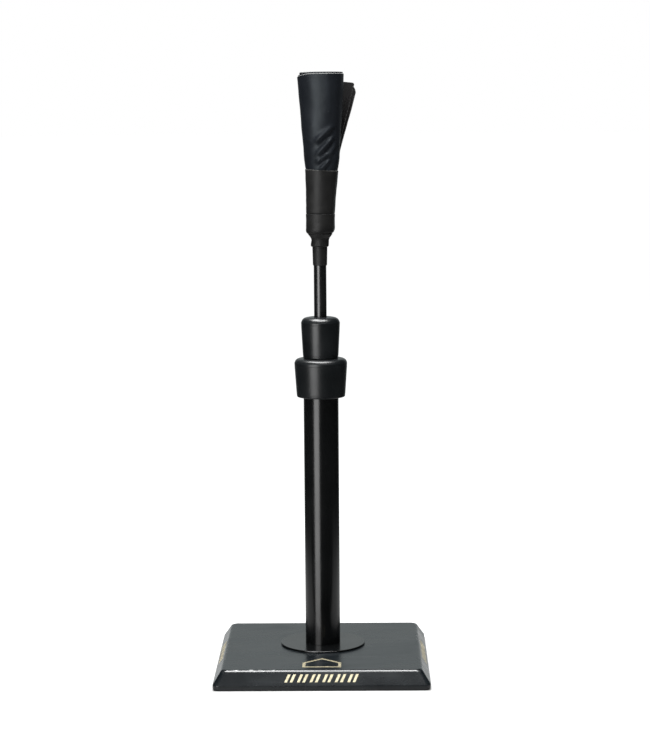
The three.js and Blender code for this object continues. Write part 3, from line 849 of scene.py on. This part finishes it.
def collar(name, node, foot, shoulder, crown, bore, skirt_bore, step):
    """A tapered rubber cap: foot, shoulder, bore and skirt_bore are radii.

    crown is the (width, height) of the round top edge, and a fine groove runs step below it.
    """
    e = Extent(node)
    width, height = crown
    edge = e.top - height
    groove = edge - step
    profile = [
        (skirt_bore, e.bottom, 0.5),
        (foot - 0.2, e.bottom, 1.6),
        (foot + 0.35, e.bottom + 5, 2),
        (shoulder - 0.05, groove - 0.6, 0.4),
        (shoulder - 0.17, groove, 0.4),
        (shoulder - 0.03, groove + 0.6, 0.4),
        (shoulder + 0.05, edge, 3),
        (shoulder - 0.18 * width, e.top - 0.45 * height, 6),
        (shoulder - 0.5 * width, e.top - 0.13 * height, 6),
        (shoulder - width, e.top, 3),
        (bore, e.top, 0.6),
        (bore, e.top - 4, 0),
        (skirt_bore, e.top - 10, 0),
    ]
    turned(name, profile, RUBBER, (node,), sides=128, steps=8)


flange(bore=5.6)
tube("outer_tube_painted", "outer_tube", wall=1.65)
tube("middle_tube_painted", "middle_tube", wall=1.5)
tube("rod_painted", "rod", wall=1.5, look=ROD_PAINT, sides=96)
collar(
    "lower_collar_moulded", "lower_collar",
    foot=30.7, shoulder=33.4, crown=(6.8, 5.4), bore=16.3, skirt_bore=22.4, step=3.4,
)
collar(
    "upper_collar_moulded", "upper_collar",
    foot=22.3, shoulder=24.6, crown=(8.8, 6.8), bore=8.4, skirt_bore=16.1, step=2.6,
)

# ---------------------------------------------------------------- neck

# The rest stands a little to the right of the stem's axis, most of all at half its height. Both
# tables are (height, millimetres): the radius of the roll at its outer end, and the shift of its
# centre.
ROLL_OUTER = [
    (555, 18.7), (575, 18.8), (600, 19.7), (630, 21.7),
    (636, 22.7), (645, 24.0), (700, 28.2), (752, 31.6),
]
ROLL_LEAN = [
    (551, 0.6), (558, 1.45), (575, 1.6), (600, 2.5),
    (630, 3.77), (645, 4.0), (700, 3.8), (752, 3.1),
]


def lean_at(z):
    return along(ROLL_LEAN, z)


def neck_sleeve():
    sleeve = Extent("neck_sleeve")
    bore = Extent("rod").r + 0.1
    profile = [
        (bore, sleeve.bottom, 0.2),
        (sleeve.r - 0.5, sleeve.bottom, 0.5),
        (sleeve.r - 0.35, sleeve.bottom + 5, 1),
        (sleeve.r, sleeve.top - 6, 1),
        (sleeve.r, sleeve.top, 0.4),
        (bore, sleeve.top, 0.2),
    ]
    turned("neck_sleeve_rubber", profile, WRAP, ("neck_sleeve",))


NECK_SIDES = 96


def cut_up(loop, step):
    """Cuts every stretch of a closed loop into pieces of about one step, so that it can bend."""
    out = []
    for (r0, z0), (r1, z1) in zip(loop, loop[1:] + loop[:1]):
        cuts = max(1, int(math.hypot(r1 - r0, z1 - z0) / step))
        out += [(r0 + (r1 - r0) * k / cuts, z0 + (z1 - z0) * k / cuts) for k in range(cuts)]
    return out


def flexible_neck():
    """The coupling that bends: its foot stays on the rod and its flare goes with the rest."""
    e = Extent("flexible_neck")
    profile = [
        (9.4, e.bottom, 0.3),
        (10.7, e.bottom, 0.9),
        (11.4, e.bottom + 1.6, 1.5),
        (11.3, e.bottom + 5, 2),
        (11.0, e.bottom + 8.2, 2),
        (11.8, e.top - 5.2, 2),
        (13.6, e.top - 2.8, 2),
        (15.7, e.top + 0.1, 0.5),
        (14.8, e.top + 0.5, 0.2),
        (4.5, e.top + 0.5, 0.3),
        (4.5, e.top - 9, 1),
        (9.4, e.top - 12, 0.4),
    ]
    loop = cut_up(rounded(profile, 5), step=0.8)
    angles = np.linspace(0, 2 * np.pi, NECK_SIDES, endpoint=False)
    points = []
    for r, z in loop:
        x = STEM.x + lean_at(z) * smooth((z - e.bottom - 2) / 8)
        points += [(x + r * math.cos(a), STEM.y + r * math.sin(a), z) for a in angles]
    made = piece(
        "flexible_neck_rubber", points, grid_faces(len(loop), NECK_SIDES, close_rows=True), WRAP,
        ("flexible_neck",), rides=False,
    )
    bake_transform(made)


neck_sleeve()
flexible_neck()

# ---------------------------------------------------------------- ball rest

ROLL_BOTTOM = 555
ROLL_TOP = 752
ROLL_END = 25  # the outer end's angle, from +X towards +Y
ROLL_TURNS = 2
ROLL_THICK = 2.5
PITCH = [(ROLL_BOTTOM, 2.8), (ROLL_TOP, 3.2)]  # spacing of the layers, as (height, millimetres)
RIPPLE_ABOVE = 628  # creases and ripples start here, just under the wrap's upper edge
PLY_STEPS = 400
PLY_ROWS = 110
PLY_LOOKS = [LOOKS["sheet_rubber"], SHEET_INSIDE, SHEET_CUT, SHEET_END]
OUTSIDE, INSIDE, CUT, END = range(4)  # places in PLY_LOOKS

# The outer end springs away from the roll above a height, over the last part of a turn.
FLAP_BOTTOM = 650
FLAP_EASE = 6
FLAP_TURNS = 0.28
FLAP_PER_MM = 0.261

# A soft fold: its angle and half width in degrees, how proud, and the heights where it starts and
# is complete.
FOLD_ANGLE = 300
FOLD_SPREAD = 26
FOLD_PROUD = 3.3
FOLD_START = 650
FOLD_WHOLE = 730

# How each ply's top edge falls towards its outer end. Falls, slope and rounded corner are
# (millimetres, where it begins, over how much), in turns from the outer end.
OUTER_FALLS = [(1.6, 1.1, 0.15), (4.3, 0.64, 0.24), (12.4, 0.42, 0.36)]
OUTER_CORNER = (6.5, 0.022, 0.018)
INNER_FALLS = [(4.6, 0.64, 0.24), (5.2, 0.36, 0.22)]
INNER_SLOPE = (4.0, 0.14, 0.14)
INNER_CORNER = (3.0, 0.026, 0.01)

# Creases in the front of the roll: angle, height, half length, half width, tilt, how proud.
CREASE_RADIUS = 22  # the roll's radius where they are
CREASES = [
    (276, 675, 13.0, 3.2, 45, 3.0),
    (279, 660, 14.0, 3.2, 48, 3.2),
    (270, 645.5, 9.0, 2.8, 38, 2.4),
    (279, 637, 9.0, 2.9, 46, 2.9),
    (305, 655, 9.0, 3.4, 56, 1.3),
    (236, 684, 6.0, 1.8, 40, 0.25),
    (222, 668, 9.0, 2.2, -30, 0.2),
]


def creased(angle, z):
    """How far the creases stand out of the roll. Each has a shallower valley along its lower side."""
    out = np.zeros_like(z)
    for centre, height, length, width, tilt, proud in CREASES:
        s = CREASE_RADIUS * np.radians((angle - centre + 180) % 360 - 180)
        t = z - height
        c, d = math.cos(math.radians(tilt)), math.sin(math.radians(tilt))
        run, across = s * c + t * d, t * c - s * d
        ridge = np.exp(-((across / width) ** 2))
        valley = np.exp(-((across / width + 1.7) ** 2))
        out += proud * (ridge - 0.55 * valley) * np.exp(-((run / length) ** 4))
    return out


def folded(angle, z):
    """How far the soft fold at the front right stands out. It makes the front look flat."""
    turn = (angle - FOLD_ANGLE + 180) % 360 - 180
    share = smooth((z - FOLD_START) / (FOLD_WHOLE - FOLD_START))
    return FOLD_PROUD * np.exp(-((turn / FOLD_SPREAD) ** 2)) * share


def waves(points, per_mm, seed):
    """Smooth noise at an array of points."""
    flat = points.reshape(-1, 3) * per_mm + seed
    return np.array([noise.noise(Vector(p)) for p in flat]).reshape(points.shape[:-1])


def fallen(turns, begin, length):
    """The share of a fall: 0 where it begins, 1 where it is complete."""
    return np.clip((begin - turns) / length, 0, 1)


def ply_top(turns, outermost):
    """Height of a ply's top edge. The outer ply is cut lower towards its end."""
    falls = OUTER_FALLS if outermost else INNER_FALLS
    drop = sum(size * smooth(fallen(turns, begin, length)) for size, begin, length in falls)
    if not outermost:
        size, begin, length = INNER_SLOPE
        drop = drop + size * fallen(turns, begin, length)
    size, begin, length = OUTER_CORNER if outermost else INNER_CORNER
    return ROLL_TOP - drop - size * fallen(turns, begin, length) ** 2


def ply_side(turns, top, offset):
    """Points of one side of a ply: a column of heights at each number of turns from the end."""
    z = ROLL_BOTTOM + (top[:, None] - ROLL_BOTTOM) * np.linspace(0, 1, PLY_ROWS)[None, :]
    t = np.repeat(turns[:, None], PLY_ROWS, 1)
    angle = ROLL_END + 360 * t
    above = np.clip(z - FLAP_BOTTOM, 0, None)
    free = fallen(t, FLAP_TURNS, FLAP_TURNS) ** 1.6
    opening = above**2 / (above + FLAP_EASE) * FLAP_PER_MM * free
    # creases and ripples are on the last turn only, above the wrap
    shows = smooth((0.98 - t) / 0.06) * smooth((z - RIPPLE_ABOVE) / 5)
    r = along(ROLL_OUTER, z) - ROLL_THICK / 2 - along(PITCH, z) * t + opening
    r = r + folded(angle, z) + creased(angle, z) * shows
    a = np.radians(angle)
    middle = np.stack([r * np.cos(a), r * np.sin(a), z], -1)
    ripple = waves(middle, 0.035, 11.0) * 0.7 + waves(middle, 0.11, 5.0) * 0.16
    r = r + (ripple + 0.1) * shows + offset
    return np.stack([STEM.x + lean_at(z) + r * np.cos(a), STEM.y + r * np.sin(a), z], -1)


def ply(name, inner, outer, end, outermost, replaces):
    """One ply of the rolled sheet, between two offsets from the middle of its thickness."""
    share = np.linspace(1, 0, PLY_STEPS + 1) ** 1.12
    turns = end + (ROLL_TURNS - end) * share
    top = ply_top(turns, outermost)
    chamfer = 0.9 if outermost else 0.3
    sides = [ply_side(turns, top, inner), ply_side(turns, top - chamfer, outer)]
    points = np.concatenate([side.reshape(-1, 3) for side in sides])
    block = (PLY_STEPS + 1) * PLY_ROWS  # points on one side
    faces, look = [], []
    for i in range(PLY_STEPS):
        for j in range(PLY_ROWS - 1):
            a, b = i * PLY_ROWS + j, (i + 1) * PLY_ROWS + j
            faces.append((a, b, b + 1, a + 1))
            faces.append((block + a, block + a + 1, block + b + 1, block + b))
            look += [INSIDE, OUTSIDE]
        for j in (0, PLY_ROWS - 1):
            a, b = i * PLY_ROWS + j, (i + 1) * PLY_ROWS + j
            faces.append((a, b, block + b, block + a))
            look.append(CUT if outermost else END)
    for i in (0, PLY_STEPS):
        for j in range(PLY_ROWS - 1):
            a = i * PLY_ROWS + j
            faces.append((a, a + 1, block + a + 1, block + a))
            look.append(END)
    piece(
        name, points, faces, PLY_LOOKS, replaces,
        body="ball_rest", slot="sheet_rubber", sharp=50, face_look=look,
    )


ply(
    "rolled_ply_inner",
    inner=-1.25, outer=-0.04, end=0.018, outermost=False, replaces=("rolled_sheet",),
)
ply("rolled_ply_outer", inner=0.04, outer=1.25, end=0.004, outermost=True, replaces=())


def taped_radius(angle, z):
    """The roll's own radius at an angle in degrees, with the step at its outer end bridged."""
    turns = ((angle - ROLL_END) % 360) / 360
    bridged = turns * (1 - smooth((turns - 0.93) / 0.07))
    return along(ROLL_OUTER, z) - along(PITCH, z) * bridged


WRAP_SIDES = 128
WRAP_SHIFT = -0.4  # of the tape's centre against the roll's, to the left


def wrap_rows(e, cupped):
    """Rows of (height, inset) up a band. A cupped band also closes in round the roll's foot."""
    if cupped:
        foot = [(0, -10.4), (0, -2.3), (0.4, -1.8), (1.4, -0.95), (3.0, -0.3)]
        start = e.bottom + 4.8
    else:
        foot = [(0, -0.5)]
        start = e.bottom + 0.6
    rows = [(e.bottom + up, inset) for up, inset in foot]
    rows += [(z, 0.0) for z in np.linspace(start, e.top - 0.8, 26)]
    return rows + [(e.top - 0.35, -0.02), (e.top, -0.35), (e.top, -0.9)]


def wrap_point(angle, z, out, share):
    """A point on a band, out from the roll, with a share of the tape's uneven thickness."""
    r = taped_radius(math.degrees(angle), z) + out
    p = Vector((r * math.cos(angle), r * math.sin(angle), z)) * 0.06  # waves per millimetre
    fold = noise.noise(Vector((p.x, p.y, p.z * 2.6)) + Vector((3, 7, 1)))
    fine = noise.noise(Vector((p.x * 2, p.y * 2, p.z * 9)))
    r += (0.22 * fold + 0.07 * fine) * share
    centre = STEM.x + lean_at(z) + WRAP_SHIFT
    return centre + r * math.cos(angle), STEM.y + r * math.sin(angle)


def wrap(name, node, thickness, tilt, cupped, edge):
    """A band of tape that follows the roll. edge is the material of its upper edge."""
    e = Extent(node)
    rows = wrap_rows(e, cupped)
    points = []
    for z, inset in rows:
        slope = tilt * smooth((z - e.bottom) / (e.top - e.bottom))
        share = 1 if inset > -0.5 else 0.2
        for a in np.linspace(0, 2 * np.pi, WRAP_SIDES, endpoint=False):
            x, y = wrap_point(a, z, thickness + inset, share)
            points.append((x, y, z - slope * math.cos(a)))
    # the last ring again, lower down inside the band
    points += [(x, y, z - 2.0) for x, y, z in points[-WRAP_SIDES:]]
    faces = grid_faces(len(rows) + 1, WRAP_SIDES)
    plain = (len(rows) - 3) * WRAP_SIDES
    look = [0] * plain + [1] * (len(faces) - plain)
    piece(name, points, faces, [WRAP, edge], (node,), sharp=60, face_look=look)


wrap("lower_wrap_tape", "lower_wrap", thickness=0.72, tilt=0.0, cupped=True, edge=WRAP_SEAM)
wrap("upper_wrap_tape", "upper_wrap", thickness=0.6, tilt=1.2, cupped=False, edge=WRAP_CUT)

# ---------------------------------------------------------------- carried-over CAD nodes

for node_name, node in frame["nodes"].items():
    if node.hide_render:
        continue
    node.data.materials.clear()
    node.data.materials.append(LOOKS[SLOT_OF[node_name]].material)
    node.data.shade_smooth()
    node.data.set_sharp_from_angle(angle=math.radians(32))
